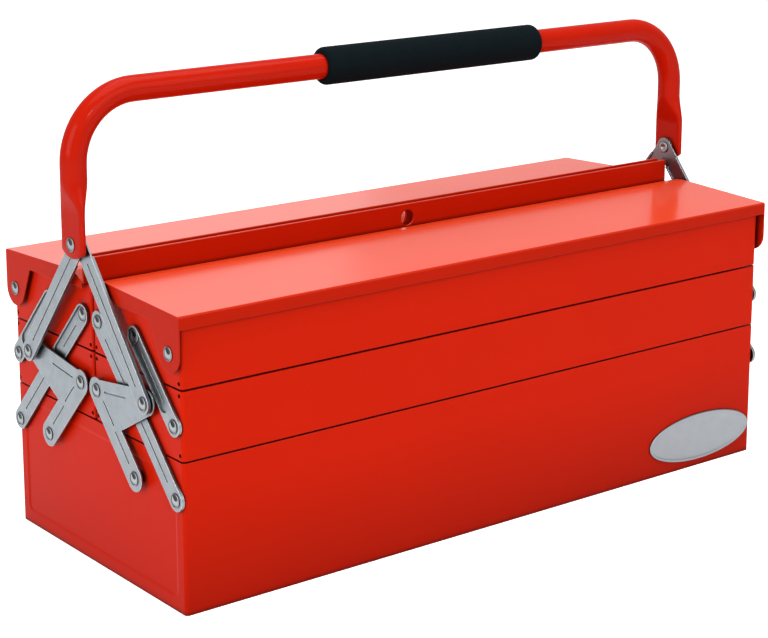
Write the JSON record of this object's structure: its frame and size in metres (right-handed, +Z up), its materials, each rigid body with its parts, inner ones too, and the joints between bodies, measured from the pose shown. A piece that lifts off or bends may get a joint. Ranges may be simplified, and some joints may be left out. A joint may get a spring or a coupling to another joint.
{
  "type": "cantilever toolbox",
  "caption": "Red steel cantilever toolbox: trays and lids unfold to both sides on riveted links, under a bent tube handle with a black foam grip",
  "frame": {"origin": "on the ground under the centre of the bottom box", "axes": "+X along the length to the end with the name plate, -Y is the front face, +Z up"},
  "size_m": [0.568, 0.228, 0.341],
  "materials": {
    "red_paint": "semi-gloss red enamel",
    "zinc_steel": "zinc plated",
    "rivet_steel": "bright zinc",
    "black_foam": "matte foam",
    "plate_metal": "satin, bare"
  },
  "bodies": {
    "base": {"bottom_box": "red_paint", "name_plate": "plate_metal", "base_rivets": "rivet_steel"},
    "front_long_links": {"long_link_front_left": "zinc_steel", "long_link_front_right": "zinc_steel"},
    "front_middle_tray": {"middle_tray_front": "red_paint", "middle_rivets_front": "rivet_steel"},
    "front_top_tray": {"top_tray_front": "red_paint", "top_rivets_front": "rivet_steel"},
    "front_short_links": {"short_link_front_left": "zinc_steel", "short_link_front_right": "zinc_steel"},
    "front_knee_plates": {"knee_plate_front_left": "zinc_steel", "knee_plate_front_right": "zinc_steel", "knee_rivets_front": "rivet_steel"},
    "front_arms": {"arm_front_left": "zinc_steel", "arm_front_right": "zinc_steel"},
    "front_lid": {"lid_front": "red_paint"},
    "back_long_links": {"long_link_back_left": "zinc_steel", "long_link_back_right": "zinc_steel"},
    "back_middle_tray": {"middle_tray_back": "red_paint", "middle_rivets_back": "rivet_steel"},
    "back_top_tray": {"top_tray_back": "red_paint", "top_rivets_back": "rivet_steel"},
    "back_short_links": {"short_link_back_left": "zinc_steel", "short_link_back_right": "zinc_steel"},
    "back_knee_plates": {"knee_plate_back_left": "zinc_steel", "knee_plate_back_right": "zinc_steel", "knee_rivets_back": "rivet_steel"},
    "back_arms": {"arm_back_left": "zinc_steel", "arm_back_right": "zinc_steel"},
    "back_lid": {"lid_back": "red_paint"},
    "handle_pins": {"handle_rivets": "rivet_steel"},
    "handle": {"handle_tube": "red_paint", "foam_grip": "black_foam"}
  },
  "joints": [
    {"name": "fold", "type": "hinge", "parent": "base", "child": "front_long_links", "pos_m": [0, -0.104, 0.0782], "axis": [1, 0, 0], "range_deg": [0, 74]},
    {"name": "front_middle_lift", "type": "hinge", "parent": "front_long_links", "child": "front_middle_tray", "pos_m": [0, -0.0575, 0.127], "axis": [1, 0, 0], "range_deg": [-75, 1]},
    {"name": "front_top_lift", "type": "hinge", "parent": "front_long_links", "child": "front_top_tray", "pos_m": [0, -0.011, 0.1758], "axis": [1, 0, 0], "range_deg": [-75, 1]},
    {"name": "front_short_turn", "type": "hinge", "parent": "front_middle_tray", "child": "front_short_links", "pos_m": [0, -0.103, 0.1275], "axis": [1, 0, 0], "range_deg": [-1, 75]},
    {"name": "front_plate_turn", "type": "hinge", "parent": "base", "child": "front_knee_plates", "pos_m": [0, -0.0572, 0.08], "axis": [1, 0, 0], "range_deg": [-1, 75]},
    {"name": "front_arm_turn", "type": "hinge", "parent": "front_knee_plates", "child": "front_arms", "pos_m": [0, -0.0752, 0.1365], "axis": [1, 0, 0], "range_deg": [-120, 1]},
    {"name": "front_lid_hinge", "type": "hinge", "parent": "front_top_tray", "child": "front_lid", "pos_m": [0, -0.1015, 0.1755], "axis": [1, 0, 0], "range_deg": [0, 110]},
    {"name": "back_fold", "type": "hinge", "parent": "base", "child": "back_long_links", "pos_m": [0, 0.104, 0.0782], "axis": [-1, 0, 0], "range_deg": [-1, 75]},
    {"name": "back_middle_lift", "type": "hinge", "parent": "back_long_links", "child": "back_middle_tray", "pos_m": [0, 0.0575, 0.127], "axis": [-1, 0, 0], "range_deg": [-75, 1]},
    {"name": "back_top_lift", "type": "hinge", "parent": "back_long_links", "child": "back_top_tray", "pos_m": [0, 0.011, 0.1758], "axis": [-1, 0, 0], "range_deg": [-75, 1]},
    {"name": "back_short_turn", "type": "hinge", "parent": "back_middle_tray", "child": "back_short_links", "pos_m": [0, 0.103, 0.1275], "axis": [-1, 0, 0], "range_deg": [-1, 75]},
    {"name": "back_plate_turn", "type": "hinge", "parent": "base", "child": "back_knee_plates", "pos_m": [0, 0.0572, 0.08], "axis": [-1, 0, 0], "range_deg": [-1, 75]},
    {"name": "back_arm_turn", "type": "hinge", "parent": "back_knee_plates", "child": "back_arms", "pos_m": [0, 0.0752, 0.1365], "axis": [-1, 0, 0], "range_deg": [-120, 1]},
    {"name": "back_lid_hinge", "type": "hinge", "parent": "back_top_tray", "child": "back_lid", "pos_m": [0, 0.1015, 0.1755], "axis": [-1, 0, 0], "range_deg": [0, 110]},
    {"name": "handle_pin_turn", "type": "hinge", "parent": "front_arms", "child": "handle_pins", "pos_m": [0, 0, 0.228], "axis": [1, 0, 0], "range_deg": [-1, 46]},
    {"name": "handle_swing", "type": "hinge", "parent": "handle_pins", "child": "handle", "pos_m": [0, 0, 0.228], "axis": [1, 0, 0], "range_deg": [-38, 38]}
  ],
  "couplings": [
    {"joint": "front_middle_lift", "follows": "fold", "ratio": -1},
    {"joint": "front_top_lift", "follows": "fold", "ratio": -1},
    {"joint": "front_short_turn", "follows": "fold", "ratio": 1},
    {"joint": "front_plate_turn", "follows": "fold", "ratio": 1},
    {"joint": "front_arm_turn", "follows": "fold", "ratio": -1.61},
    {"joint": "back_fold", "follows": "fold", "ratio": 1},
    {"joint": "back_middle_lift", "follows": "fold", "ratio": -1},
    {"joint": "back_top_lift", "follows": "fold", "ratio": -1},
    {"joint": "back_short_turn", "follows": "fold", "ratio": 1},
    {"joint": "back_plate_turn", "follows": "fold", "ratio": 1},
    {"joint": "back_arm_turn", "follows": "fold", "ratio": -1.61},
    {"joint": "handle_pin_turn", "follows": "fold", "ratio": 0.61}
  ]
}
